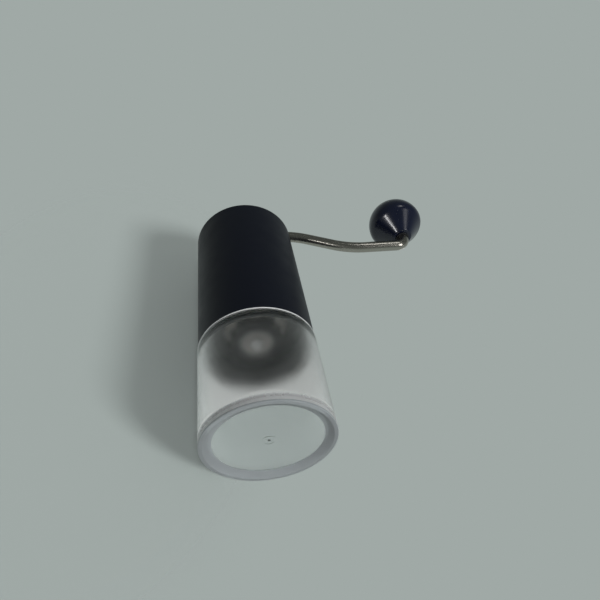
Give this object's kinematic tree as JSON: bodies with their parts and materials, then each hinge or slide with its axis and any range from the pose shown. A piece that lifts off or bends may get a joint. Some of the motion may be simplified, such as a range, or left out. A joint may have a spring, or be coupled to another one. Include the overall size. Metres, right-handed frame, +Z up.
{
  "type": "hand crank coffee grinder",
  "caption": "Slim hand crank coffee grinder: black cylindrical housing, conical ceramic burrs, frosted push-fit cup, lift-out lid, stepped steel crank rod and turning knob.",
  "frame": {"origin": "centre of the cup's foot, on the surface that the grinder stands on, on the drive shaft's axis", "axes": "+Z up the drive shaft, +X towards the crank's knob as stored"},
  "size_m": [0.136, 0.0526, 0.158],
  "materials": {
    "housing_black": "matte, soft touch",
    "inner_black": "matte",
    "bush_white": "satin",
    "steel": "turned",
    "spring_steel": "drawn",
    "burr_ceramic": "fired, unglazed",
    "cup_frosted": "frosted wall, polished foot",
    "seal_rubber": "smooth, translucent",
    "lid_black": "matte",
    "crank_steel": "polished satin",
    "knob_black": "gloss",
    "knob_brass": "turned"
  },
  "bodies": {
    "body": {"housing": "housing_black", "burr_carrier": "inner_black", "upper_bridge": "inner_black", "upper_bush": "bush_white", "lower_bush": "bush_white", "outer_burr": "burr_ceramic", "burr_retainer": "inner_black", "retainer_screw_1": "steel", "retainer_screw_2": "steel", "retainer_screw_3": "steel"},
    "drive": {"shaft": "steel", "circlip": "spring_steel", "top_washer": "steel", "thrust_washer": "steel", "spring_seat": "steel", "spring": "spring_steel"},
    "burr": {"inner_burr": "burr_ceramic", "click_plate": "spring_steel"},
    "adjuster": {"adjuster_wheel": "inner_black", "adjuster_nut": "steel"},
    "cup": {"cup": "cup_frosted", "cup_seal": "seal_rubber"},
    "lid": {"lid": "lid_black", "lid_grommet": "bush_white"},
    "crank": {"crank_hub": "crank_steel", "crank_rod": "crank_steel", "hub_cap": "crank_steel", "knob_washer": "steel", "knob_screw": "steel"},
    "knob": {"knob": "knob_black", "knob_sleeve": "knob_brass", "knob_cap": "knob_black"}
  },
  "joints": [
    {"name": "shaft_spin", "type": "hinge", "parent": "body", "child": "drive", "pos_m": [0, 0, 0.09], "axis": [0, 0, 1], "continuous": true},
    {"name": "crank_lift", "type": "slide", "parent": "drive", "child": "crank", "axis": [0, 0, 1], "range_m": [0, 0.06]},
    {"name": "knob_spin", "type": "hinge", "parent": "crank", "child": "knob", "pos_m": [0.0938, 0, 0.14], "axis": [0, 0, 1], "continuous": true},
    {"name": "lid_lift", "type": "slide", "parent": "body", "child": "lid", "axis": [0, 0, 1], "range_m": [0, 0.027]},
    {"name": "burr_gap", "type": "slide", "parent": "drive", "child": "burr", "axis": [0, 0, -1], "range_m": [0, 0.002], "deforming": ["spring"]},
    {"name": "adjuster_turn", "type": "hinge", "parent": "burr", "child": "adjuster", "pos_m": [0, 0, 0.0545], "axis": [0, 0, -1], "range_deg": [0, 720]},
    {"name": "cup_off", "type": "slide", "parent": "body", "child": "cup", "axis": [0, 0, -1], "range_m": [0, 0.06]}
  ],
  "couplings": [
    {"joint": "lid_lift", "follows": "crank_lift", "ratio": 0.45},
    {"joint": "burr_gap", "follows": "adjuster_turn", "m_per_rad": 0.00015915}
  ]
}
